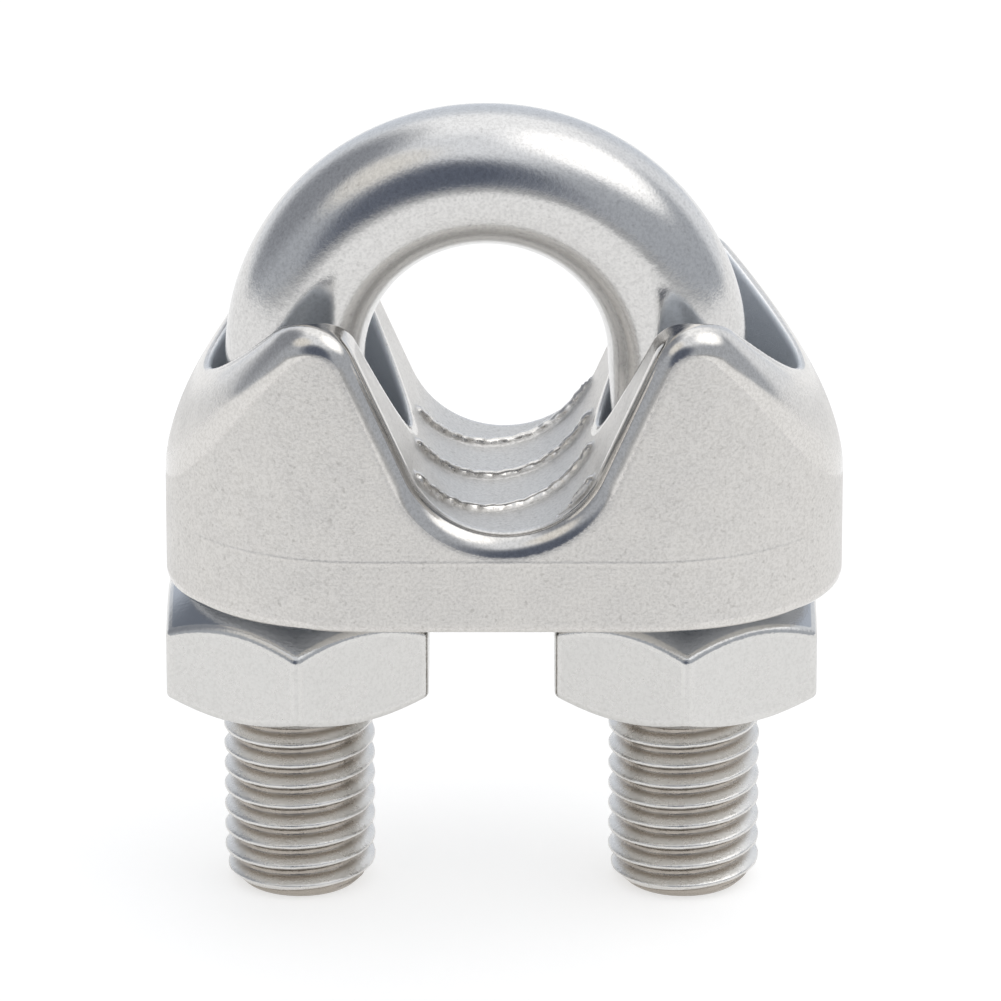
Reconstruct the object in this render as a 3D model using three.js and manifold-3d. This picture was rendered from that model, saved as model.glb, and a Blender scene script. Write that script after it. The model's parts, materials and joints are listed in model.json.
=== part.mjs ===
import * as THREE from "three";
import { mergeVertices } from "three/addons/utils/BufferGeometryUtils.js";
import Module from "manifold-3d";

// A wire rope clip, in millimetres, +Z up, standing on the ends of its two studs.
// A U-bolt bends over the rope. A cast saddle slides on its legs and cradles the rope in a ribbed groove.
// Two hexagon nuts under the saddle pull it up against the rope. The rope runs along Y.

const wasm = await Module();
wasm.setup();

// Driving dimensions
const ROPE_DIAMETER = 18;
const ROPE_SIDE_CLEARANCE = 1; // total, across the bend
const STUD_SPACING = 30.6;
const THREAD_DIAMETER = 12;
const PITCH = 1.75;
const THREAD_DEPTH = 0.58 * PITCH;
const CREST_WIDTH = PITCH / 8;
const BAR_DIAMETER = 11; // the plain bar, about the pitch diameter of the thread rolled on its ends
const THREAD_LENGTH = 33;
const STUD_CHAMFER = 1.4;
const TURNS_BELOW_NUT = 9.5; // turns of thread that stand out under each nut
const SPRING_HEIGHT = 44.6; // where the straight legs meet the bend
const BEND_SHIFT = 0.4; // how far the bend's middle lies to the left of the studs' middle

const NUT_ACROSS_FLATS = 20.7; // a 21 mm spanner's nut at its real tolerance
const NUT_HEIGHT = 9.35;
const NUT_LOWER_CHAMFER = { faceDiameter: 19.6, angle: THREE.MathUtils.degToRad(30) };
const NUT_UPPER_CHAMFER = { faceDiameter: 17, angle: THREE.MathUtils.degToRad(39) };
const THREAD_CLEARANCE = 0.3; // radial, between nut and stud

const SADDLE_WIDTH = 53.4;
const SADDLE_DEPTH = 26;
const SADDLE_END_RUN = 15.7; // how far from each end the front and back faces start to curve
const SADDLE_NUT_GAP = 0.05;
const EDGE_RADIUS = 1.6; // the fillet along the saddle's upper outline
const BOTTOM_CHAMFER = 0.8;
const GROOVE_RADIUS = 7.9;
const GROOVE_CENTRE_HEIGHT = 15.9; // above the saddle's underside, like the next heights
const SHOULDER_HEIGHT = 14.25;
const POCKET_FLOOR_HEIGHT = 6;
const FLANK_ANGLE = THREE.MathUtils.degToRad(66.5); // the groove's sides, from the horizontal
const SHOULDER_ANGLE = THREE.MathUtils.degToRad(47); // the outer slopes, from the horizontal
const PEAK_RADIUS = 3.85;
const SHOULDER_RADIUS = 4;
const POCKET_HALF_WIDTH = 7.3;
const POCKET_HALF_DEPTH = 9.8;
const LEG_HOLE_DIAMETER = 14.4;
const SIDE_PLAY = 1; // how far the loose U-bolt sits to the left of the saddle's middle

const RIB_PITCH = 7; // the rope's strand spacing, along Y
const RIB_OFFSET = 0.65; // where the middle rib crosses the bottom of the groove
const RIB_LEAD = 6.2; // how far a rib moves along Y from its left end to its right end
const RIB_HALF_ANGLE = THREE.MathUtils.degToRad(58);
const RIB_HEIGHT = 0.5;
const RIB_FOOT = 1.4;
const RIB_CREST = 0.5;
const RIB_SINK = 0.3; // how deep a rib's foot is buried in the groove
const RIB_COUNT = 4; // counted from the one behind the middle rib

const LEAD_TURNS = 2; // turns by which a threaded rod overruns the part it cuts or is cut by
const OVERCUT = 1; // how far a cut runs past the surface it opens

// Fineness of the round shapes
const THREAD_STEPS = 16; // around one turn
const BLANK_SIDES = 32; // around the turned blank that each stud is cut from
const BAR_SIDES = 20;
const BEND_STEPS = 18;
const NUT_SIDES = 36;
const OUTLINE_STEPS = 5; // along each arc of the saddle's front outline
const FILLET_STEPS = 3;
const END_STEPS = 10; // along each half-elliptical end
const HOLE_SIDES = 28;
const POCKET_STEPS = 14;
const RIB_STEPS = 10;

// Derived dimensions
const studX = STUD_SPACING / 2;
const bendRadius = (ROPE_DIAMETER + ROPE_SIDE_CLEARANCE + BAR_DIAMETER) / 2; // to the bar's centre line
const nutBottom = TURNS_BELOW_NUT * PITCH;
const saddleBottom = nutBottom + NUT_HEIGHT + SADDLE_NUT_GAP;

// A manifold solid from a closed three.js geometry, with only its positions kept.
function solid(geometry) {
  geometry.deleteAttribute("normal");
  geometry.deleteAttribute("uv");
  const merged = mergeVertices(geometry, 1e-5);
  return new wasm.Manifold(
    new wasm.Mesh({
      numProp: 3,
      vertProperties: merged.getAttribute("position").array,
      triVerts: new Uint32Array(merged.getIndex().array),
    }),
  );
}

// A three.js geometry from a manifold solid, flat shaded.
function geometryOf(manifold) {
  const mesh = manifold.getMesh();
  const indexed = new THREE.BufferGeometry();
  indexed.setAttribute("position", new THREE.BufferAttribute(mesh.vertProperties, mesh.numProp));
  indexed.setIndex(new THREE.BufferAttribute(mesh.triVerts, 1));
  const geometry = indexed.toNonIndexed();
  geometry.computeVertexNormals();
  return geometry;
}

// A closed body skinned over rings of points, each ring counter-clockwise about the way the rings advance.
function skinnedSolid(rings) {
  const triangles = [];
  const sides = rings[0].length;
  const centreOf = (ring) =>
    ring.reduce((sum, point) => sum.add(point), new THREE.Vector3()).divideScalar(sides);
  const startCentre = centreOf(rings[0]);
  const endRing = rings[rings.length - 1];
  const endCentre = centreOf(endRing);
  for (let j = 0; j < sides; j++) {
    const k = (j + 1) % sides;
    for (let i = 0; i + 1 < rings.length; i++) {
      const [near, far] = [rings[i], rings[i + 1]];
      triangles.push(near[j], near[k], far[k]);
      triangles.push(near[j], far[k], far[j]);
    }
    triangles.push(startCentre, rings[0][k], rings[0][j]);
    triangles.push(endCentre, endRing[j], endRing[k]);
  }
  return solid(new THREE.BufferGeometry().setFromPoints(triangles));
}

// A long right-hand threaded rod about Z, with an ISO 60 degree profile.
// A crest crosses the +X side at every whole number of pitches, so every rod is in phase with every other.
function threadedRod(crestRadius, turns) {
  const halfCrest = CREST_WIDTH / 2;
  const flankRun = THREAD_DEPTH * Math.tan(Math.PI / 6);
  const profile = [
    { rise: -halfCrest, radius: crestRadius },
    { rise: halfCrest, radius: crestRadius },
    { rise: halfCrest + flankRun, radius: crestRadius - THREAD_DEPTH },
    { rise: PITCH - halfCrest - flankRun, radius: crestRadius - THREAD_DEPTH },
  ];
  const pointAt = (step, k) => {
    if (k === profile.length) return pointAt(step + THREAD_STEPS, 0);
    const angle = (2 * Math.PI * (step % THREAD_STEPS)) / THREAD_STEPS;
    const { rise, radius } = profile[k];
    const height = PITCH * (step / THREAD_STEPS - LEAD_TURNS) + rise;
    return new THREE.Vector3(radius * Math.cos(angle), radius * Math.sin(angle), height);
  };
  const lastStep = turns * THREAD_STEPS;
  const startCentre = new THREE.Vector3(0, 0, pointAt(0, 0).z);
  const endCentre = new THREE.Vector3(0, 0, pointAt(lastStep, profile.length).z);
  const triangles = [];
  for (let k = 0; k < profile.length; k++) {
    for (let step = 0; step < lastStep; step++) {
      triangles.push(pointAt(step, k), pointAt(step + 1, k), pointAt(step + 1, k + 1));
      triangles.push(pointAt(step, k), pointAt(step + 1, k + 1), pointAt(step, k + 1));
    }
    triangles.push(startCentre, pointAt(0, k), pointAt(0, k + 1));
    triangles.push(endCentre, pointAt(lastStep, k + 1), pointAt(lastStep, k));
  }
  for (let step = 0; step < THREAD_STEPS; step++) {
    triangles.push(startCentre, pointAt(step + 1, 0), pointAt(step, 0));
    triangles.push(endCentre, pointAt(lastStep + step, 0), pointAt(lastStep + step + 1, 0));
  }
  return solid(new THREE.BufferGeometry().setFromPoints(triangles));
}

// A body turned about Z from [radius, height] pairs that start and end on the axis.
function turned(profile, sides) {
  const points = profile.map(([radius, height]) => new THREE.Vector2(radius, height));
  return solid(new THREE.LatheGeometry(points, sides).rotateX(Math.PI / 2));
}

// A straight extrusion along Z of a plan outline, from one height to another.
function upright(outline, from, to, curveSegments, chamfer = 0) {
  const geometry = new THREE.ExtrudeGeometry(outline, {
    depth: to - from - 2 * chamfer,
    curveSegments,
    bevelEnabled: chamfer > 0,
    bevelThickness: chamfer,
    bevelSize: chamfer,
    bevelOffset: -chamfer,
    bevelSegments: 1,
  });
  return solid(geometry.translate(0, 0, from + chamfer));
}

// U-bolt: a round bar bent over the rope, with a threaded stud at each end.

function bentBar() {
  const ringAt = (x, z, lean) => {
    // The bar runs up the left leg, over the bend and down the right leg, and lean is its turn from upright.
    const across = new THREE.Vector3(Math.cos(lean), 0, -Math.sin(lean));
    const ring = [];
    for (let i = 0; i < BAR_SIDES; i++) {
      const angle = (2 * Math.PI * i) / BAR_SIDES;
      const point = new THREE.Vector3(x, 0, z).addScaledVector(across, (BAR_DIAMETER / 2) * Math.cos(angle));
      point.y += (BAR_DIAMETER / 2) * Math.sin(angle);
      ring.push(point);
    }
    return ring;
  };
  const legFoot = THREAD_LENGTH - PITCH / 2; // inside the threaded length, so that the thread runs out on the bar
  const rings = [ringAt(-studX, legFoot, 0)];
  for (let i = 0; i <= BEND_STEPS; i++) {
    const lean = (Math.PI * i) / BEND_STEPS;
    const x = -BEND_SHIFT - bendRadius * Math.cos(lean);
    rings.push(ringAt(x, SPRING_HEIGHT + bendRadius * Math.sin(lean), lean));
  }
  rings.push(ringAt(studX, legFoot, Math.PI));
  return skinnedSolid(rings);
}

function stud() {
  const crestRadius = THREAD_DIAMETER / 2;
  const blankRadius = crestRadius / Math.cos(Math.PI / BLANK_SIDES); // its facets clear the thread's crests
  const blank = turned(
    [
      [0, 0],
      [blankRadius - STUD_CHAMFER, 0],
      [blankRadius, STUD_CHAMFER],
      [blankRadius, THREAD_LENGTH - STUD_CHAMFER / 2],
      [blankRadius - STUD_CHAMFER / 2, THREAD_LENGTH],
      [0, THREAD_LENGTH],
    ],
    BLANK_SIDES,
  );
  const turns = Math.ceil(THREAD_LENGTH / PITCH) + 2 * LEAD_TURNS;
  return threadedRod(crestRadius, turns).intersect(blank);
}

function uBolt() {
  const left = stud().translate([-studX, 0, 0]);
  const right = stud().translate([studX, 0, 0]);
  return geometryOf(bentBar().add(left).add(right));
}

// Nut: a hexagon with a corner towards the front, chamfered at both ends, and tapped right through.

function nut() {
  const cornerRadius = NUT_ACROSS_FLATS / Math.sqrt(3);
  const corners = [0, 1, 2, 3, 4, 5].map((i) => {
    const angle = Math.PI / 6 + (Math.PI / 3) * i;
    return new THREE.Vector2(cornerRadius * Math.cos(angle), cornerRadius * Math.sin(angle));
  });
  const hexagon = new THREE.Shape(corners);
  const wideRadius = cornerRadius + OVERCUT;
  const chamferRun = ({ faceDiameter, angle }) => (wideRadius - faceDiameter / 2) * Math.tan(angle);
  const envelope = turned(
    [
      [0, 0],
      [NUT_LOWER_CHAMFER.faceDiameter / 2, 0],
      [wideRadius, chamferRun(NUT_LOWER_CHAMFER)],
      [wideRadius, NUT_HEIGHT - chamferRun(NUT_UPPER_CHAMFER)],
      [NUT_UPPER_CHAMFER.faceDiameter / 2, NUT_HEIGHT],
      [0, NUT_HEIGHT],
    ],
    NUT_SIDES,
  );
  const tapRadius = THREAD_DIAMETER / 2 + THREAD_CLEARANCE;
  const turns = Math.ceil(NUT_HEIGHT / PITCH) + 2 * LEAD_TURNS;
  // The nut's thread is in phase with the stud's where the nut sits.
  const tap = threadedRod(tapRadius, turns).translate([0, 0, -(nutBottom % PITCH)]);
  return geometryOf(upright(hexagon, 0, NUT_HEIGHT, 1).intersect(envelope).subtract(tap));
}

// Saddle: a cast block with a rope groove between two peaks, and a pocket for a leg in each peak.

// The plan outline: flat front and back, and half-elliptical ends.
function planOutline() {
  const halfDepth = SADDLE_DEPTH / 2;
  const endX = SADDLE_WIDTH / 2 - SADDLE_END_RUN;
  const outline = new THREE.Shape();
  outline.moveTo(-endX, -halfDepth);
  outline.lineTo(endX, -halfDepth);
  outline.absellipse(endX, 0, SADDLE_END_RUN, halfDepth, -Math.PI / 2, Math.PI / 2, false, 0);
  outline.lineTo(-endX, halfDepth);
  outline.absellipse(-endX, 0, SADDLE_END_RUN, halfDepth, Math.PI / 2, (3 * Math.PI) / 2, false, 0);
  return outline;
}

// The corner of the right peak, were it sharp: where the groove's side meets the outer slope.
function sharpPeak() {
  const tangentX = GROOVE_RADIUS * Math.sin(FLANK_ANGLE);
  const tangentZ = GROOVE_CENTRE_HEIGHT - GROOVE_RADIUS * Math.cos(FLANK_ANGLE);
  const flank = Math.tan(FLANK_ANGLE);
  const slope = Math.tan(SHOULDER_ANGLE);
  const x = (SHOULDER_HEIGHT + (slope * SADDLE_WIDTH) / 2 - tangentZ + flank * tangentX) / (flank + slope);
  return { x, z: tangentZ + flank * (x - tangentX) };
}

// The M-shaped front outline: from well below the underside up over the shoulders, the peaks and the groove.
function frontOutline() {
  const halfWidth = SADDLE_WIDTH / 2;
  const peak = sharpPeak();
  const halfCorner = (Math.PI - FLANK_ANGLE - SHOULDER_ANGLE) / 2;
  const tilt = (FLANK_ANGLE - SHOULDER_ANGLE) / 2;
  const reach = PEAK_RADIUS / Math.sin(halfCorner);
  const peakX = peak.x + reach * Math.sin(tilt);
  const peakZ = peak.z - reach * Math.cos(tilt);
  const shoulderX = halfWidth - SHOULDER_RADIUS;
  const shoulderZ = SHOULDER_HEIGHT - SHOULDER_RADIUS * Math.tan((Math.PI / 2 - SHOULDER_ANGLE) / 2);
  const quarter = Math.PI / 2;
  const outline = new THREE.Shape();
  outline.moveTo(-halfWidth, -SADDLE_DEPTH);
  outline.lineTo(halfWidth, -SADDLE_DEPTH);
  outline.absarc(shoulderX, shoulderZ, SHOULDER_RADIUS, 0, quarter - SHOULDER_ANGLE, false);
  outline.absarc(peakX, peakZ, PEAK_RADIUS, quarter - SHOULDER_ANGLE, quarter + FLANK_ANGLE, false);
  outline.absarc(0, GROOVE_CENTRE_HEIGHT, GROOVE_RADIUS, FLANK_ANGLE - quarter, -quarter - FLANK_ANGLE, true);
  outline.absarc(-peakX, peakZ, PEAK_RADIUS, quarter - FLANK_ANGLE, quarter + SHOULDER_ANGLE, false);
  outline.absarc(-shoulderX, shoulderZ, SHOULDER_RADIUS, quarter + SHOULDER_ANGLE, Math.PI, false);
  return outline;
}

// The front outline drawn through the whole depth, with its front and back edges filleted.
function filletedBlock() {
  const geometry = new THREE.ExtrudeGeometry(frontOutline(), {
    depth: SADDLE_DEPTH - 2 * EDGE_RADIUS,
    curveSegments: OUTLINE_STEPS,
    bevelThickness: EDGE_RADIUS,
    bevelSize: EDGE_RADIUS,
    bevelOffset: -EDGE_RADIUS,
    bevelSegments: FILLET_STEPS,
  });
  geometry.rotateX(Math.PI / 2);
  return solid(geometry.translate(0, SADDLE_DEPTH / 2 - EDGE_RADIUS, 0));
}

// One rib across the groove, skewed along Y like a strand of the rope.
function rib(middleY) {
  const foot = GROOVE_RADIUS + RIB_SINK;
  const crest = GROOVE_RADIUS - RIB_HEIGHT;
  const section = [
    [foot, -RIB_FOOT / 2],
    [foot, RIB_FOOT / 2],
    [crest, RIB_CREST / 2],
    [crest, -RIB_CREST / 2],
  ];
  const rings = [];
  for (let i = 0; i <= RIB_STEPS; i++) {
    const share = (2 * i) / RIB_STEPS - 1;
    const angle = share * RIB_HALF_ANGLE;
    const y = middleY + (share * RIB_LEAD) / 2;
    const pointAt = ([radius, offset]) =>
      new THREE.Vector3(radius * Math.sin(angle), y + offset, GROOVE_CENTRE_HEIGHT - radius * Math.cos(angle));
    rings.push(section.map(pointAt));
  }
  return skinnedSolid(rings);
}

// Every rib that crosses the groove, trimmed short of the rounded front and back edges.
function ribs() {
  const length = SADDLE_DEPTH - 2 * EDGE_RADIUS;
  const between = solid(new THREE.BoxGeometry(SADDLE_WIDTH, length, 2 * SADDLE_DEPTH));
  let all = rib(RIB_OFFSET + RIB_PITCH);
  for (let i = 1; i < RIB_COUNT; i++) all = all.add(rib(RIB_OFFSET + RIB_PITCH - i * RIB_PITCH));
  return all.intersect(between);
}

// A lens-shaped pocket, longest along the rope, with a round hole through its floor.
function legPocket(x) {
  const lens = new THREE.Shape();
  lens.moveTo(x, -POCKET_HALF_DEPTH);
  lens.quadraticCurveTo(x + 2 * POCKET_HALF_WIDTH, 0, x, POCKET_HALF_DEPTH);
  lens.quadraticCurveTo(x - 2 * POCKET_HALF_WIDTH, 0, x, -POCKET_HALF_DEPTH);
  const hole = new THREE.Shape();
  hole.absarc(x, 0, LEG_HOLE_DIAMETER / 2, 0, 2 * Math.PI, false);
  const pocket = upright(lens, POCKET_FLOOR_HEIGHT, SADDLE_DEPTH + OVERCUT, POCKET_STEPS);
  return pocket.add(upright(hole, -OVERCUT, POCKET_FLOOR_HEIGHT + OVERCUT, HOLE_SIDES / 2));
}

function saddle() {
  const plan = upright(planOutline(), 0, 2 * SADDLE_DEPTH, END_STEPS, BOTTOM_CHAMFER);
  const body = filletedBlock().intersect(plan).add(ribs());
  return geometryOf(body.subtract(legPocket(-studX)).subtract(legPocket(studX)));
}

// Assembly

function piece(name, geometry, material, position) {
  const mesh = new THREE.Mesh(geometry, new THREE.MeshStandardMaterial(material));
  mesh.name = name;
  mesh.position.set(...position);
  return mesh;
}

const polished = { color: 0xc9c8c6, metalness: 1, roughness: 0.22 };
const cast = { color: 0xcfccc7, metalness: 1, roughness: 0.42 };
const machined = { color: 0xc4c1bc, metalness: 1, roughness: 0.3 };

const wireRopeClip = new THREE.Group();
wireRopeClip.add(piece("u_bolt", uBolt(), polished, [-SIDE_PLAY, 0, 0]));
wireRopeClip.add(piece("saddle", saddle(), cast, [0, 0, saddleBottom]));
wireRopeClip.add(piece("nut_left", nut(), machined, [-SIDE_PLAY - studX, 0, nutBottom]));
wireRopeClip.add(piece("nut_right", nut(), machined, [-SIDE_PLAY + studX, 0, nutBottom]));

export default wireRopeClip;
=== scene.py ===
"""A wire rope clip in polished and cast stainless steel, on a plain white floor in a soft light tent."""

import json
import math

import bpy
import numpy as np
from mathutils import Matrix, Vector


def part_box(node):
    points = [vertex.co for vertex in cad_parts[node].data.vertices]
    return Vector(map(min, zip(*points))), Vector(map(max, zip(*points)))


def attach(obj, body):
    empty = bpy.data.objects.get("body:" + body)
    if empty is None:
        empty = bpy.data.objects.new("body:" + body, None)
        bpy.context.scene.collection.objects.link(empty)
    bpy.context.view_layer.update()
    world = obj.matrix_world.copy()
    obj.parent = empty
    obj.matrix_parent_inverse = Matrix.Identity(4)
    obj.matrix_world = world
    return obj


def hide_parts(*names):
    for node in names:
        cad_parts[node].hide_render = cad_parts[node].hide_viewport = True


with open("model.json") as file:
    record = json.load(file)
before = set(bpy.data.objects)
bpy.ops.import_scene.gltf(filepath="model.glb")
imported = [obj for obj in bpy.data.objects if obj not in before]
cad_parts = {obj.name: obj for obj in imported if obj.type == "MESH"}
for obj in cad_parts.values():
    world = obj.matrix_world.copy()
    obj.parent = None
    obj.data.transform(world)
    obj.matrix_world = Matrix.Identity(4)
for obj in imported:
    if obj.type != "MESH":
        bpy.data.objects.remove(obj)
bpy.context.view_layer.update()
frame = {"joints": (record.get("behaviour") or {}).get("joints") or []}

# Shapes are worked out in millimetres, and objects are made in metres.
MM = 0.001

# Threads, with their flat roots and crests as shares of the pitch
PITCH = 1.75
THREAD_DEPTH = 1.0
THREAD_RADIUS = 6.0
THREAD_LENGTH = 33.0
ROOT_SHARE = 0.22
CREST_SHARE = 0.14
STUD_CHAMFER = 1.3

# The U-bolt's bar and its bend, which sits a little to the left of the middle of the studs
BAR_RADIUS = 5.5
BEND_RADIUS = 15.0
BEND_SHIFT = 0.4

# Nuts: each chamfer is a cone that starts at its face radius
NUT_LOWER_FACE_RADIUS = 9.8
NUT_LOWER_ANGLE = math.radians(30)
NUT_UPPER_FACE_RADIUS = 8.5
NUT_UPPER_ANGLE = math.radians(39)
NUT_EDGE_RADIUS = 0.28
NUT_CORNER_RADIUS = 0.35
NUT_CLEARANCE = 0.3
NUT_COUNTERSINK = 0.7
NUT_CREST_RADIUS = 0.15

# Saddle, with heights above its underside
END_RUN = 15.7
GROOVE_RADIUS = 7.9
GROOVE_CENTRE = 15.9
SHOULDER_HEIGHT = 14.25
FLANK_ANGLE = math.radians(66.5)
SHOULDER_ANGLE = math.radians(47)
PEAK_RADIUS = 3.85
EDGE_RADIUS = 2.0
END_EDGE_RADIUS = 3.6
END_EDGE_RUN = 9.0
BOTTOM_EDGE_RADIUS = 0.7
POCKET_HALF_WIDTH = 7.3
POCKET_HALF_DEPTH = 9.8
POCKET_TIP_RADIUS = 0.8
POCKET_FLOOR = 6.0
POCKET_FLOOR_RADIUS = 1.0
POCKET_EDGE_RADIUS = 0.7
LEG_HOLE_RADIUS = 7.2
RIB_PITCH = 7.0
RIB_OFFSET = 0.65
RIB_LEAD = 6.2
RIB_HALF_ANGLE = math.radians(58)
RIB_HEIGHT = 0.5
RIB_RADIUS = 0.62
RIB_UNEVENNESS = 0.05
RIB_FILLET = 0.35
RIB_EDGE_GAP = 0.3
PARTING_HEIGHT = 6.0

# How finely the meshes are made
SADDLE_CELL = 0.3
NUT_CELL = 0.18
BAR_SIDES = 112
ROWS_PER_PITCH = 18
BEND_RINGS = 97
END_CAP_RINGS = 6

# An edge is polished where its surface bends sharply. The bending is measured over a small step.
BENDING_STEP = 0.3
FULL_POLISH_BENDING = 0.5


# Distance fields: negative inside the steel, in millimetres

def round_max(a, b, radius):
    """The overlap of two solids, with its outer edge rounded."""
    corner = np.hypot(np.maximum(a + radius, 0), np.maximum(b + radius, 0))
    return np.minimum(np.maximum(a, b), -radius) + corner


def smooth_min(a, b, reach):
    """The union of two solids, with a small fillet where they meet."""
    h = np.maximum(reach - np.abs(a - b), 0) / reach
    return np.minimum(a, b) - h * h * reach / 4


def smooth_step(low, high, x):
    """0 below low, 1 above high, and an S-curve between them."""
    t = np.clip((x - low) / (high - low), 0, 1)
    return t * t * (3 - 2 * t)


def thread_radius(angle, z):
    """The radius of a right-hand thread whose crest crosses angle 0 at whole pitches."""
    phase = (z / PITCH - angle / (2 * math.pi)) % 1.0
    from_root = np.abs(phase - 0.5) * 2
    flank = np.clip((from_root - ROOT_SHARE) / (1 - CREST_SHARE - ROOT_SHARE), 0, 1)
    return THREAD_RADIUS - THREAD_DEPTH * (1 - flank)


def plan_distance(x, y, half_width, half_depth):
    """The saddle seen from above: flat front and back, half-elliptical ends."""
    end = np.maximum(np.abs(x) - (half_width - END_RUN), 0)
    reach = np.hypot(end / END_RUN, y / half_depth)
    slope = np.hypot(end / END_RUN**2, y / half_depth**2)
    return reach * (reach - 1) / np.maximum(slope, 1e-9)


def outline_distance(x, z, half_width):
    """The saddle seen from the front: a groove between two rounded peaks, and sloping shoulders."""
    ax = np.abs(x)
    flank_cos, flank_sin = math.cos(FLANK_ANGLE), math.sin(FLANK_ANGLE)
    slope_cos, slope_sin = math.cos(SHOULDER_ANGLE), math.sin(SHOULDER_ANGLE)
    tangent_x = GROOVE_RADIUS * flank_sin
    tangent_z = GROOVE_CENTRE - GROOVE_RADIUS * flank_cos
    up_flank = (ax - tangent_x) * flank_cos + (z - tangent_z) * flank_sin
    flank = (z - tangent_z) * flank_cos - (ax - tangent_x) * flank_sin
    groove = np.where(up_flank > 0, flank, GROOVE_RADIUS - np.hypot(ax, z - GROOVE_CENTRE))
    shoulder = (ax - half_width) * slope_sin + (z - SHOULDER_HEIGHT) * slope_cos

    # The centre of the peak's arc is PEAK_RADIUS inside both lines.
    inner = np.array([[-flank_sin, flank_cos], [slope_sin, slope_cos]])
    offsets = np.array([
        -tangent_x * flank_sin + tangent_z * flank_cos - PEAK_RADIUS,
        half_width * slope_sin + SHOULDER_HEIGHT * slope_cos - PEAK_RADIUS,
    ])
    peak_x, peak_z = np.linalg.solve(inner, offsets)
    dx, dz = ax - peak_x, z - peak_z
    over_peak = (dx * flank_cos + dz * flank_sin > 0) & (dz * slope_sin - dx * slope_cos > 0)
    return np.where(over_peak, np.hypot(dx, dz) - PEAK_RADIUS, np.maximum(groove, shoulder))


def rib_distance(x, y, z, half_depth):
    """Skewed ribs that stand out of the groove, each with rounded ends and an uneven, cast crest."""
    radius = np.hypot(x, z - GROOVE_CENTRE)
    angle = np.arctan2(x, GROOVE_CENTRE - z)
    held = np.clip(angle, -RIB_HALF_ANGLE, RIB_HALF_ANGLE)
    middle = RIB_OFFSET + held / RIB_HALF_ANGLE * RIB_LEAD / 2
    along = (y - middle + RIB_PITCH / 2) % RIB_PITCH - RIB_PITCH / 2
    sunk = radius - (GROOVE_RADIUS + RIB_RADIUS - RIB_HEIGHT)
    past_end = (angle - held) * GROOVE_RADIUS
    arc = angle * GROOVE_RADIUS
    # Two crossed waves, so that the lumps along a crest don't repeat
    uneven = RIB_UNEVENNESS * np.sin(4.3 * arc + y) * np.sin(1.9 * arc - 2 * y)
    bar = np.sqrt(along**2 + sunk**2 + past_end**2) - RIB_RADIUS + uneven
    return np.maximum(bar, np.abs(y) - (half_depth - EDGE_RADIUS - RIB_EDGE_GAP))


def pocket_distance(x, y, z, centre_x):
    """The hollow round a leg: a lens-shaped pocket over a round hole."""
    soft = np.hypot(x - centre_x, POCKET_TIP_RADIUS) - POCKET_TIP_RADIUS / 2
    bulge = soft / POCKET_HALF_WIDTH + (y / POCKET_HALF_DEPTH) ** 2 - 1
    slope = np.hypot(1 / POCKET_HALF_WIDTH, 2 * y / POCKET_HALF_DEPTH**2)
    lens = round_max(bulge / slope, POCKET_FLOOR - z, POCKET_FLOOR_RADIUS)
    hole = np.hypot(x - centre_x, y) - LEG_HOLE_RADIUS
    return np.minimum(lens, hole)


def saddle_distance(x, y, z, half_width, half_depth, leg_x):
    """The whole casting. The rounding along its upper outline grows towards the two ends."""
    towards_end = smooth_step(half_width - END_EDGE_RUN, half_width, np.abs(x))
    edge = EDGE_RADIUS + (END_EDGE_RADIUS - EDGE_RADIUS) * towards_end
    plan = plan_distance(x, y, half_width, half_depth)
    body = round_max(outline_distance(x, z, half_width), plan, edge)
    body = round_max(body, -z, BOTTOM_EDGE_RADIUS)
    body = smooth_min(body, rib_distance(x, y, z, half_depth), RIB_FILLET)
    for side in (-1, 1):
        body = round_max(body, -pocket_distance(x, y, z, side * leg_x), POCKET_EDGE_RADIUS)
    return body


def nut_distance(x, y, z, across_flats, height, first_z):
    """A hexagon with chamfered ends and a threaded bore.

    Its lower face is at first_z on the stud, which sets where its thread begins.
    """
    flats = [np.abs(x * math.cos(a) + y * math.sin(a)) for a in (0, math.pi / 3, 2 * math.pi / 3)]
    side = across_flats / 2
    body = round_max(flats[0] - side, flats[1] - side, NUT_CORNER_RADIUS)
    body = round_max(body, flats[2] - side, NUT_CORNER_RADIUS)
    radius = np.hypot(x, y)
    ends = (
        (-z, NUT_LOWER_FACE_RADIUS, NUT_LOWER_ANGLE),
        (z - height, NUT_UPPER_FACE_RADIUS, NUT_UPPER_ANGLE),
    )
    for past_face, face_radius, angle in ends:
        cone = (radius - face_radius) * math.sin(angle) + past_face * math.cos(angle)
        body = round_max(body, cone, NUT_EDGE_RADIUS)
        body = round_max(body, past_face, NUT_EDGE_RADIUS)
    thread = thread_radius(np.arctan2(y, x), z + first_z) + NUT_CLEARANCE
    past_either_end = np.abs(z - height / 2) - height / 2
    countersink = THREAD_RADIUS + NUT_COUNTERSINK + past_either_end
    # The thread's flanks slope, so the radial gap to them overstates the distance.
    bore = 0.8 * (np.maximum(thread, countersink) - radius)
    return round_max(body, bore, NUT_CREST_RADIUS)


# Mesh making

def gradient(distance, points, step):
    """The slope of a distance field at each point, along X, Y and Z."""
    columns = []
    for axis in range(3):
        shift = np.zeros(3)
        shift[axis] = step
        ahead = distance(*(points + shift).T)
        behind = distance(*(points - shift).T)
        columns.append((ahead - behind) / (2 * step))
    return np.stack(columns, axis=1)


def bending(distance, points, step):
    """The sum of the surface's curvatures, positive on outer edges, in 1/mm."""
    here = distance(*points.T)
    total = -6 * here
    for axis in range(3):
        shift = np.zeros(3)
        shift[axis] = step
        total += distance(*(points + shift).T) + distance(*(points - shift).T)
    return total / step**2


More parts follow.
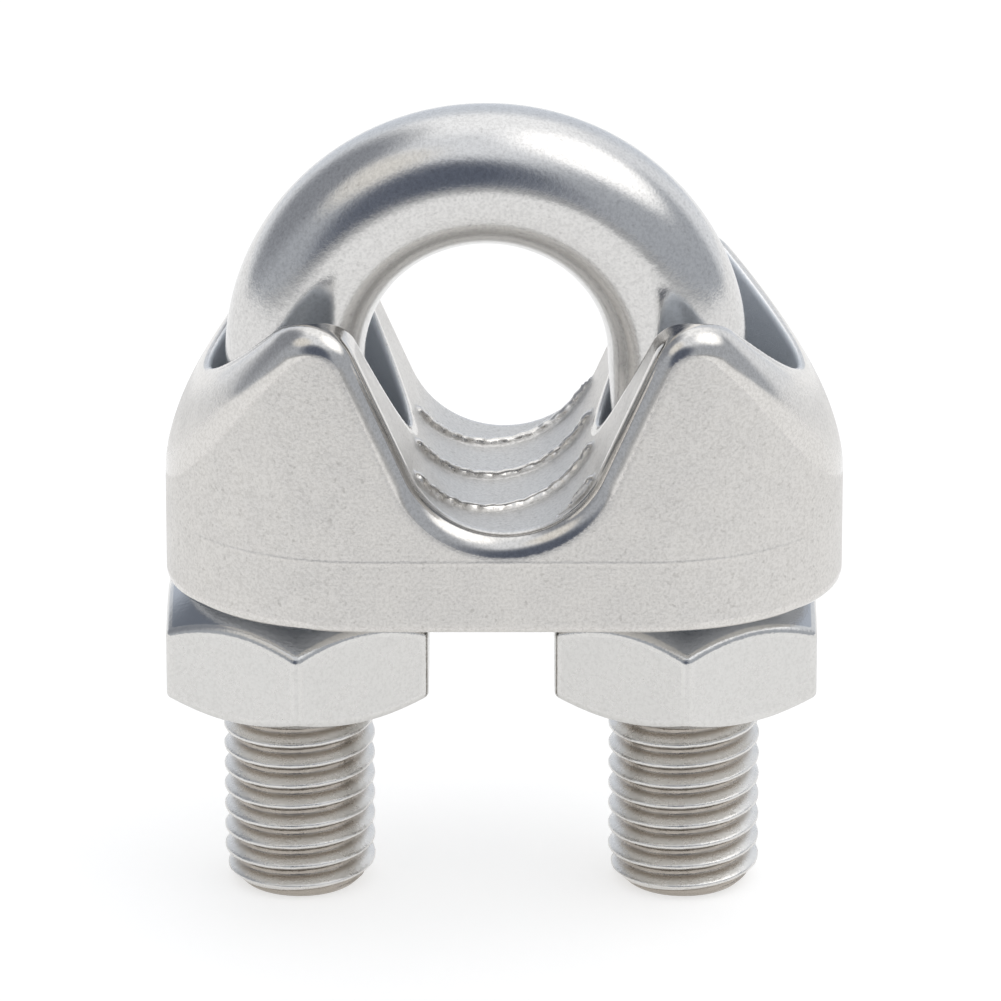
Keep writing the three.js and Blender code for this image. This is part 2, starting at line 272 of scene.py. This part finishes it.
def net_vertices(values, crossed, corners):
    """One vertex in each crossed cell, in cells: the mean of the points where its edges are cut."""
    total = np.zeros((len(crossed), 3))
    hits = np.zeros(len(crossed))
    for start in corners:
        for axis in range(3):
            if start[axis]:
                continue
            stop = np.array(start)
            stop[axis] = 1
            a = values[tuple((crossed + start).T)]
            b = values[tuple((crossed + stop).T)]
            cuts = (a < 0) != (b < 0)
            share = np.where(cuts, a / np.where(cuts, a - b, 1), 0)
            point = crossed + np.array(start, float)
            point[:, axis] += share
            total[cuts] += point[cuts]
            hits += cuts
    return total / hits[:, None]


def net_quads(inside, crossed, cells):
    """A quad round each grid edge that leaves or enters the solid, through the four cells beside it."""
    index = np.full(cells, -1)
    index[tuple(crossed.T)] = np.arange(len(crossed))
    quads = []
    for axis in range(3):
        u, v = (axis + 1) % 3, (axis + 2) % 3
        ahead = np.roll(inside, -1, axis)
        edges = np.argwhere(inside != ahead)
        within = (edges[:, axis] < cells[axis]) & (edges[:, u] > 0) & (edges[:, v] > 0)
        within &= (edges[:, u] < cells[u]) & (edges[:, v] < cells[v])
        edges = edges[within]
        ring = []
        for du, dv in ((-1, -1), (0, -1), (0, 0), (-1, 0)):
            at = edges.copy()
            at[:, u] += du
            at[:, v] += dv
            ring.append(index[tuple(at.T)])
        ring = np.stack(ring, axis=1)
        leaving = inside[tuple(edges.T)]
        quads.append(np.where(leaving[:, None], ring, ring[:, ::-1]))
    return np.concatenate(quads)


def surface_net(distance, low, high, cell):
    """Vertices and quads of the zero surface of a distance field, one vertex in each cell it crosses."""
    counts = [int(math.ceil((b - a) / cell)) + 1 for a, b in zip(low, high)]
    axes = [a + cell * np.arange(n) for a, n in zip(low, counts)]
    values = distance(*np.meshgrid(*axes, indexing="ij"))
    inside = values < 0
    corners = [(i, j, k) for i in (0, 1) for j in (0, 1) for k in (0, 1)]
    cells = [n - 1 for n in counts]
    held = sum(
        inside[i:i + cells[0], j:j + cells[1], k:k + cells[2]].astype(np.int8) for i, j, k in corners
    )
    crossed = np.argwhere((held > 0) & (held < len(corners)))
    vertices = low + cell * net_vertices(values, crossed, corners)
    return vertices, net_quads(inside, crossed, cells)


def mesh_object(name, vertices, faces, place, normals=None, marks=None):
    """A smooth-shaded object from points in millimetres, moved to its place.

    Its marks are masks for the material, one number a point.
    """
    mesh = bpy.data.meshes.new(name)
    points = (np.asarray(vertices) + place) * MM
    mesh.from_pydata(points.tolist(), [], [list(map(int, face)) for face in faces])
    mesh.shade_smooth()
    for key, values in (marks or {}).items():
        mesh.attributes.new(key, "FLOAT", "POINT").data.foreach_set("value", values.astype(np.float32))
    if normals is not None:
        mesh.normals_split_custom_set_from_vertices(normals.tolist())
    thing = bpy.data.objects.new(name, mesh)
    bpy.context.scene.collection.objects.link(thing)
    return thing


def field_object(name, distance, size, margin, cell, place, shaded):
    """An object on the zero surface of a distance field, with exact normals.

    The field's solid stands on z = 0 and fills a box of the given size. Its rounded edges are marked as
    polished, and shaded(points, normals) marks where the material paints shade into the colour and changes
    the finish.
    """
    reach = np.array([size[0] / 2 + margin, size[1] / 2 + margin, margin])
    vertices, quads = surface_net(distance, -reach, reach + [0, 0, size[2]], cell)
    # A net's vertex is near the surface. Each round moves it most of the way that is left.
    for _ in range(3):
        slope = gradient(distance, vertices, 0.02)
        steepness = np.maximum((slope**2).sum(axis=1), 0.25)
        off = np.clip(distance(*vertices.T), -cell, cell)
        vertices = vertices - slope * (off / steepness)[:, None]
    slope = gradient(distance, vertices, 0.03)
    normals = slope / np.maximum(np.linalg.norm(slope, axis=1), 1e-6)[:, None]
    polish = np.clip(bending(distance, vertices, BENDING_STEP) / FULL_POLISH_BENDING, 0, 1)
    # An edge that still nearly faces the front or the back is as satin as the face beside it.
    polish *= 1 - smooth_step(0.95, 0.995, np.abs(normals[:, 1]))
    # The shaded mark is where shade is painted into the colour.
    marks = {"polish": polish, "shaded": shaded(vertices, normals)}
    return mesh_object(name, vertices, quads, place, normals, marks)


# Pieces

def in_mm(vector):
    """A point of the frame, in millimetres."""
    return np.array(vector) / MM


def seat(node):
    """The size of a node's box and the middle of its underside, in millimetres."""
    low, high = map(in_mm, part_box(node))
    middle = (low + high) / 2
    return high - low, np.array([middle[0], middle[1], low[2]])


def fit_to(piece, node):
    """Put a piece in the place of a node, on that node's body."""
    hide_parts(node)
    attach(piece, node)
    return piece


def saddle_piece():
    """The casting, as wide and as deep as its node, with a pocket for each leg."""
    size, place = seat("saddle")
    half_width, half_depth = size[:2] / 2
    legs = [in_mm(joint["pos_m"])[0] for joint in frame["joints"] if joint["type"] == "hinge"]
    leg_x = (max(legs) - min(legs)) / 2

    def distance(x, y, z):
        return saddle_distance(x, y, z, half_width, half_depth, leg_x)

    # Inside the pockets the material paints shade into the colour and makes the finish duller.
    def pocket_shade(points, normals):
        left, right = (pocket_distance(*points.T, side * leg_x) for side in (-1, 1))
        return 1 - smooth_step(0.05, 0.5, np.minimum(left, right))

    piece = field_object(
        "saddle_casting", distance, size, margin=1, cell=SADDLE_CELL, place=place, shaded=pocket_shade
    )
    return fit_to(piece, "saddle")


def nut_piece(name):
    """A nut as large as its node, with its thread in step with the stud's."""
    size, place = seat(name)
    across_flats = size[0]
    height = size[2]

    def distance(x, y, z):
        return nut_distance(x, y, z, across_flats, height, place[2])

    # Where the upper end faces up under the saddle, the material paints shade into the colour.
    def upper_end_shade(points, normals):
        return smooth_step(height - 4, height - 2.5, points[:, 2]) * smooth_step(0.45, 0.65, normals[:, 2])

    piece = field_object(
        name + "_hexagon", distance, size, margin=0.6, cell=NUT_CELL, place=place, shaded=upper_end_shade
    )
    return fit_to(piece, name)


def stud_radius(angle, z):
    """The bar's radius below its straight shank: thread, end chamfer and run-out."""
    thread = thread_radius(angle, z)
    run_out = smooth_step(THREAD_LENGTH - 2 * PITCH, THREAD_LENGTH, z)
    radius = thread * (1 - run_out) + BAR_RADIUS * run_out
    chamfer = THREAD_RADIUS - STUD_CHAMFER + z
    return np.minimum(radius, chamfer)


def skin(rings):
    """The faces of a closed tube over rings of equally many points, with a flat cap at each end."""
    count = len(rings[0])
    side = np.arange(count)
    following = (side + 1) % count
    faces = []
    for base in range(0, (len(rings) - 1) * count, count):
        corners = [base + side, base + following, base + count + following, base + count + side]
        faces.extend(np.stack(corners, axis=1).tolist())
    faces.append(side[::-1].tolist())
    faces.append(((len(rings) - 1) * count + side).tolist())
    return faces


def u_bolt_piece():
    """The bar as rings of points, up the left stud and leg, round the bend and down the right."""
    size, place = seat("u_bolt")
    stud_x = size[0] / 2 - THREAD_RADIUS
    spring_z = size[2] - BAR_RADIUS - BEND_RADIUS
    angles = np.linspace(0, 2 * math.pi, BAR_SIDES, endpoint=False)
    rings = []
    radii = []

    def add_ring(x, z, lean, radius):
        radii.append(np.broadcast_to(radius, angles.shape))
        across = np.cos(angles) * radius
        points = [x + across * math.cos(lean), np.sin(angles) * radius, z - across * math.sin(lean)]
        rings.append(np.stack(points, axis=1))

    def leg_x(side, z):
        """A leg leans a little, from its stud to its end of the bend."""
        share = (z - THREAD_LENGTH) / (spring_z - THREAD_LENGTH)
        return side * stud_x + share * (side * (BEND_RADIUS - stud_x) - BEND_SHIFT)

    rows = np.arange(0, THREAD_LENGTH, PITCH / ROWS_PER_PITCH)
    shank = np.arange(THREAD_LENGTH, spring_z, 1.0)
    end_radii = np.linspace(0.1, 1, END_CAP_RINGS, endpoint=False) * (THREAD_RADIUS - STUD_CHAMFER)
    for radius in end_radii:
        add_ring(-stud_x, 0, 0, radius)
    for z in rows:
        add_ring(-stud_x, z, 0, stud_radius(angles, z))
    for z in shank:
        add_ring(leg_x(-1, z), z, 0, BAR_RADIUS)
    for lean in np.linspace(0, math.pi, BEND_RINGS):
        bend_x = -BEND_SHIFT - BEND_RADIUS * math.cos(lean)
        add_ring(bend_x, spring_z + BEND_RADIUS * math.sin(lean), lean, BAR_RADIUS)
    for z in shank[::-1]:
        add_ring(leg_x(1, z), z, math.pi, BAR_RADIUS)
    for z in rows[::-1]:
        add_ring(stud_x, z, math.pi, stud_radius(math.pi - angles, z))
    for radius in end_radii[::-1]:
        add_ring(stud_x, 0, math.pi, radius)

    vertices = np.concatenate(rings)
    below_crest = THREAD_RADIUS - np.concatenate(radii)
    on_stud = vertices[:, 2] < THREAD_LENGTH
    # Shade is painted into the thread roots, more the deeper they lie below the crest.
    marks = {"root_shade": smooth_step(0.35, 0.9, below_crest / THREAD_DEPTH) * on_stud}
    piece = mesh_object("u_bolt_bar", vertices, skin(rings), place, marks=marks)
    return fit_to(piece, "u_bolt")


# Materials

class Nodes:
    """A node tree, with short ways to add and join its nodes."""

    def __init__(self, tree):
        self.tree = tree

    def add(self, kind, **settings):
        node = self.tree.nodes.new(kind)
        for key, value in settings.items():
            setattr(node, key, value)
        return node

    def join(self, source, target):
        if isinstance(source, (int, float, tuple)):
            target.default_value = source
        else:
            self.tree.links.new(source, target)

    def span(self, value, from_low, from_high, to_low=0.0, to_high=1.0):
        node = self.add("ShaderNodeMapRange", interpolation_type="SMOOTHSTEP")
        for socket, number in zip(node.inputs[1:5], (from_low, from_high, to_low, to_high)):
            socket.default_value = number
        self.join(value, node.inputs[0])
        return node.outputs["Result"]

    def maths(self, operation, a, b):
        node = self.add("ShaderNodeMath", operation=operation)
        self.join(a, node.inputs[0])
        self.join(b, node.inputs[1])
        return node.outputs["Value"]

    def mix(self, share, a, b):
        """A colour between two colours."""
        node = self.add("ShaderNodeMix", data_type="RGBA")
        self.join(share, node.inputs[0])
        self.join(a, node.inputs[6])
        self.join(b, node.inputs[7])
        return node.outputs[2]

    def blend(self, share, a, b):
        """A number between two numbers."""
        node = self.add("ShaderNodeMix", data_type="FLOAT")
        self.join(share, node.inputs[0])
        self.join(a, node.inputs[2])
        self.join(b, node.inputs[3])
        return node.outputs[0]


class Shader(Nodes):
    """A material's node tree, with its textures fixed to the object."""

    def __init__(self, name):
        self.material = bpy.data.materials.new(name)
        self.material.use_nodes = True
        super().__init__(self.material.node_tree)
        self.surface = self.tree.nodes["Principled BSDF"]
        self.place = self.add("ShaderNodeTexCoord").outputs["Object"]

    def noise(self, scale, detail=3, roughness=0.5, stretch=(1, 1, 1)):
        moved = self.add("ShaderNodeMapping")
        moved.inputs["Scale"].default_value = stretch
        self.join(self.place, moved.inputs["Vector"])
        node = self.add("ShaderNodeTexNoise")
        node.inputs["Scale"].default_value = scale
        node.inputs["Detail"].default_value = detail
        node.inputs["Roughness"].default_value = roughness
        self.join(moved.outputs["Vector"], node.inputs["Vector"])
        return node.outputs["Fac"]

    def mark(self, name):
        """One of the masks stored on the mesh."""
        return self.add("ShaderNodeAttribute", attribute_name=name).outputs["Fac"]

    def height(self):
        """The height above the floor, in metres."""
        split = self.add("ShaderNodeSeparateXYZ")
        self.join(self.place, split.inputs[0])
        return split.outputs["Z"]

    def bump(self, height, distance, strength, under=None):
        node = self.add("ShaderNodeBump")
        node.inputs["Distance"].default_value = distance
        self.join(strength, node.inputs["Strength"])
        self.join(height, node.inputs["Height"])
        if under is not None:
            self.join(under, node.inputs["Normal"])
        return node.outputs["Normal"]

    def finish(self, colour, roughness, normal, metallic=1.0):
        self.join(metallic, self.surface.inputs["Metallic"])
        self.join(colour, self.surface.inputs["Base Color"])
        self.join(roughness, self.surface.inputs["Roughness"])
        self.join(normal, self.surface.inputs["Normal"])
        return self.material


def cast_steel():
    """Satin blasted casting, with fine pits, a parting line, polished edges, and duller pockets with
    painted shade.
    """
    s = Shader("cast_steel")
    polish = s.span(s.mark("polish"), 0.15, 0.75)
    pocket = s.mark("shaded")
    satin = s.blend(polish, 1.0, 0.0)
    mottle = s.noise(420, 4, 0.6)
    grain = s.noise(4000, 3, 0.7)
    pits = s.span(s.noise(2600, 2, 0.5), 0.58, 0.76)
    colour = s.mix(mottle, (0.66, 0.64, 0.61, 1), (0.72, 0.70, 0.675, 1))
    colour = s.mix(s.span(grain, 0.34, 0.62, 0.38, 0.0), colour, (0.42, 0.405, 0.38, 1))
    colour = s.mix(s.maths("MULTIPLY", pits, s.blend(satin, 0.0, 0.4)), colour, (0.36, 0.345, 0.32, 1))
    # Painted shade: a cool slate colour and less metal sheen in the pockets stand in for the shade in the
    # hollows. Their rougher finish is the casting's own.
    colour = s.mix(pocket, colour, (0.76, 0.80, 0.85, 1))
    roughness = s.blend(polish, s.span(mottle, 0.3, 0.7, 0.34, 0.44), 0.13)
    roughness = s.blend(pocket, roughness, 0.6)
    parting_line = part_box("saddle")[0].z + PARTING_HEIGHT * MM
    off_line = s.maths("ABSOLUTE", s.maths("SUBTRACT", s.height(), parting_line), 0.0)
    ridge = s.span(off_line, 0.0, 0.00025, 1.0, 0.0)
    normal = s.bump(s.noise(90, 2), 0.0004, 0.15)
    normal = s.bump(grain, 0.0001, s.maths("MULTIPLY", satin, 0.35), normal)
    normal = s.bump(ridge, 0.00006, 0.4, normal)
    return s.finish(colour, roughness, normal, s.blend(pocket, 1.0, 0.3))


def polished_steel():
    """Bright bar with a faint orange peel, and duller, slightly stained rolled threads with painted shade
    in their roots.
    """
    s = Shader("polished_steel")
    threaded = s.span(s.height(), (THREAD_LENGTH - PITCH) * MM, THREAD_LENGTH * MM, 1.0, 0.0)
    mottle = s.noise(160, 4, 0.6)
    grain = s.noise(3600, 3, 0.7)
    stain = s.noise(700, 3, 0.65, (1, 1, 2.5))
    bright = s.mix(mottle, (0.66, 0.65, 0.635, 1), (0.71, 0.70, 0.685, 1))
    bright = s.mix(s.span(grain, 0.34, 0.62, 0.42, 0.0), bright, (0.46, 0.45, 0.44, 1))
    bright = s.mix(s.span(s.noise(2600, 2, 0.5), 0.58, 0.76, 0.0, 0.35), bright, (0.36, 0.35, 0.34, 1))
    rolled = s.mix(stain, (0.58, 0.56, 0.53, 1), (0.86, 0.85, 0.83, 1))
    # Painted shade: the thread roots are coloured darker.
    rolled = s.mix(s.mark("root_shade"), rolled, (0.44, 0.40, 0.355, 1))
    colour = s.mix(threaded, bright, rolled)
    shank = s.span(mottle, 0.3, 0.7, 0.13, 0.20)
    thread = s.span(stain, 0.3, 0.7, 0.20, 0.36)
    roughness = s.blend(threaded, shank, thread)
    normal = s.bump(s.noise(60, 2), 0.0005, 0.08)
    normal = s.bump(s.noise(700, 3, 0.6), 0.0002, s.blend(threaded, 0.05, 0.2), normal)
    normal = s.bump(grain, 0.00008, s.blend(threaded, 0.12, 0.5), normal)
    return s.finish(colour, roughness, normal)


def nut_steel():
    """Turned and tumbled nuts, smoother along their edges, with painted shade and a smoother finish on the
    end under the saddle.
    """
    s = Shader("nut_steel")
    polish = s.span(s.mark("polish"), 0.1, 0.7)
    shaded_upper_end = s.mark("shaded")
    mottle = s.noise(300, 4, 0.6)
    grain = s.noise(3600, 3, 0.7)
    colour = s.mix(mottle, (0.63, 0.62, 0.60, 1), (0.71, 0.70, 0.68, 1))
    colour = s.mix(s.span(grain, 0.3, 0.6, 0.3, 0.0), colour, (0.46, 0.45, 0.43, 1))
    # Painted shade on the upper end under the saddle, lighter along its polished edges.
    dark = s.maths("MULTIPLY", shaded_upper_end, s.blend(polish, 1.0, 0.2))
    colour = s.mix(dark, colour, (0.38, 0.40, 0.43, 1))
    smooth = s.maths("MAXIMUM", polish, shaded_upper_end)
    roughness = s.blend(smooth, s.span(mottle, 0.3, 0.7, 0.24, 0.34), 0.14)
    normal = s.bump(s.noise(120, 2), 0.0004, 0.12)
    normal = s.bump(grain, 0.00008, 0.3, normal)
    return s.finish(colour, roughness, normal)


# Stage, light and camera

def make_floor():
    """A white floor with a little glow of its own, which in reflections ends where the dim room begins."""
    reach = 2.0
    mesh = bpy.data.meshes.new("floor")
    corners = [(-reach, -reach, 0), (reach, -reach, 0), (reach, reach, 0), (-reach, reach, 0)]
    mesh.from_pydata(corners, [], [(0, 1, 2, 3)])
    floor = bpy.data.objects.new("floor", mesh)
    bpy.context.scene.collection.objects.link(floor)
    s = Shader("floor")
    split = s.add("ShaderNodeSeparateXYZ")
    s.join(s.place, split.inputs[0])
    near = s.span(split.outputs["Y"], -0.36, -0.28)
    seen = s.add("ShaderNodeLightPath").outputs["Is Camera Ray"]
    glow = s.blend(s.maths("MAXIMUM", near, seen), 0.0, 0.62)
    s.surface.inputs["Base Color"].default_value = (0.50, 0.50, 0.50, 1)
    s.surface.inputs["Roughness"].default_value = 0.9
    s.surface.inputs["Specular IOR Level"].default_value = 0.1
    s.surface.inputs["Emission Color"].default_value = (1, 0.995, 0.985, 1)
    s.join(glow, s.surface.inputs["Emission Strength"])
    mesh.materials.append(s.material)


def direction(azimuth, elevation):
    """A unit vector. Azimuth 0 is towards the camera's side, and 90 is to the right."""
    a, e = math.radians(azimuth), math.radians(elevation)
    return Vector((math.sin(a) * math.cos(e), -math.cos(a) * math.cos(e), math.sin(e)))


def make_tent():
    """The world: a white light tent with a softbox high on the right, open to a dim room in front.

    Each mix lays one more part of it over those before: the lit back wall, its shaded foot, the room,
    a dark stand on the left, a pale window beside it, the camera, and the softbox.
    """
    world = bpy.data.worlds.new("tent")
    bpy.context.scene.world = world
    world.use_nodes = True
    w = Nodes(world.node_tree)
    ray = w.add("ShaderNodeTexCoord").outputs["Generated"]
    split = w.add("ShaderNodeSeparateXYZ")
    w.join(ray, split.inputs[0])

    def lobe(azimuth, elevation, inner, outer):
        """1 within the inner angle of a direction, 0 beyond the outer one."""
        node = w.add("ShaderNodeVectorMath", operation="DOT_PRODUCT")
        w.join(ray, node.inputs[0])
        node.inputs[1].default_value = direction(azimuth, elevation)
        return w.span(node.outputs["Value"], math.cos(math.radians(outer)), math.cos(math.radians(inner)))

    low_down = w.span(split.outputs["Z"], 0.45, 0.85, 1.0, 0.0)
    in_front = w.span(split.outputs["Y"], 0.25, 0.55, 1.0, 0.0)
    room = w.maths("MULTIPLY", low_down, in_front)
    colour = w.mix(lobe(180, 62, 12, 40), (0.97, 1.0, 1.05, 1), (1.25, 1.27, 1.30, 1))
    colour = w.mix(lobe(180, 12, 15, 42), colour, (0.80, 0.85, 0.93, 1))
    colour = w.mix(room, colour, (0.50, 0.53, 0.58, 1))
    colour = w.mix(lobe(-108, 34, 16, 42), colour, (0.33, 0.35, 0.39, 1))
    colour = w.mix(lobe(-52, 46, 6, 24), colour, (0.95, 0.93, 0.89, 1))
    colour = w.mix(lobe(-12, 18, 12, 34), colour, (0.13, 0.15, 0.20, 1))
    colour = w.mix(lobe(78, 56, 6, 34), colour, (1.9, 1.9, 1.9, 1))
    seen = w.add("ShaderNodeLightPath").outputs["Is Camera Ray"]
    colour = w.mix(seen, colour, (1.0, 1.0, 1.0, 1))
    background = world.node_tree.nodes["Background"]
    w.join(colour, background.inputs["Color"])


def make_camera():
    """A long lens, square on to the groove and 22 degrees above it."""
    lift = math.radians(22)
    away = 0.8
    width = 0.0790
    aim = Vector((-0.0003, 0, 0.0321))
    data = bpy.data.cameras.new("camera")
    data.sensor_width = 36
    data.lens = data.sensor_width * away / width
    data.clip_start = 0.01
    camera = bpy.data.objects.new("camera", data)
    camera.location = aim + away * Vector((0, -math.cos(lift), math.sin(lift)))
    camera.rotation_euler = (aim - camera.location).to_track_quat("-Z", "Y").to_euler()
    bpy.context.scene.collection.objects.link(camera)
    bpy.context.scene.camera = camera


make_camera()
make_tent()
make_floor()

saddle_piece().data.materials.append(cast_steel())
u_bolt_piece().data.materials.append(polished_steel())
nut_material = nut_steel()
for node in ("nut_left", "nut_right"):
    nut_piece(node).data.materials.append(nut_material)

bpy.context.scene.view_settings.view_transform = "Standard"
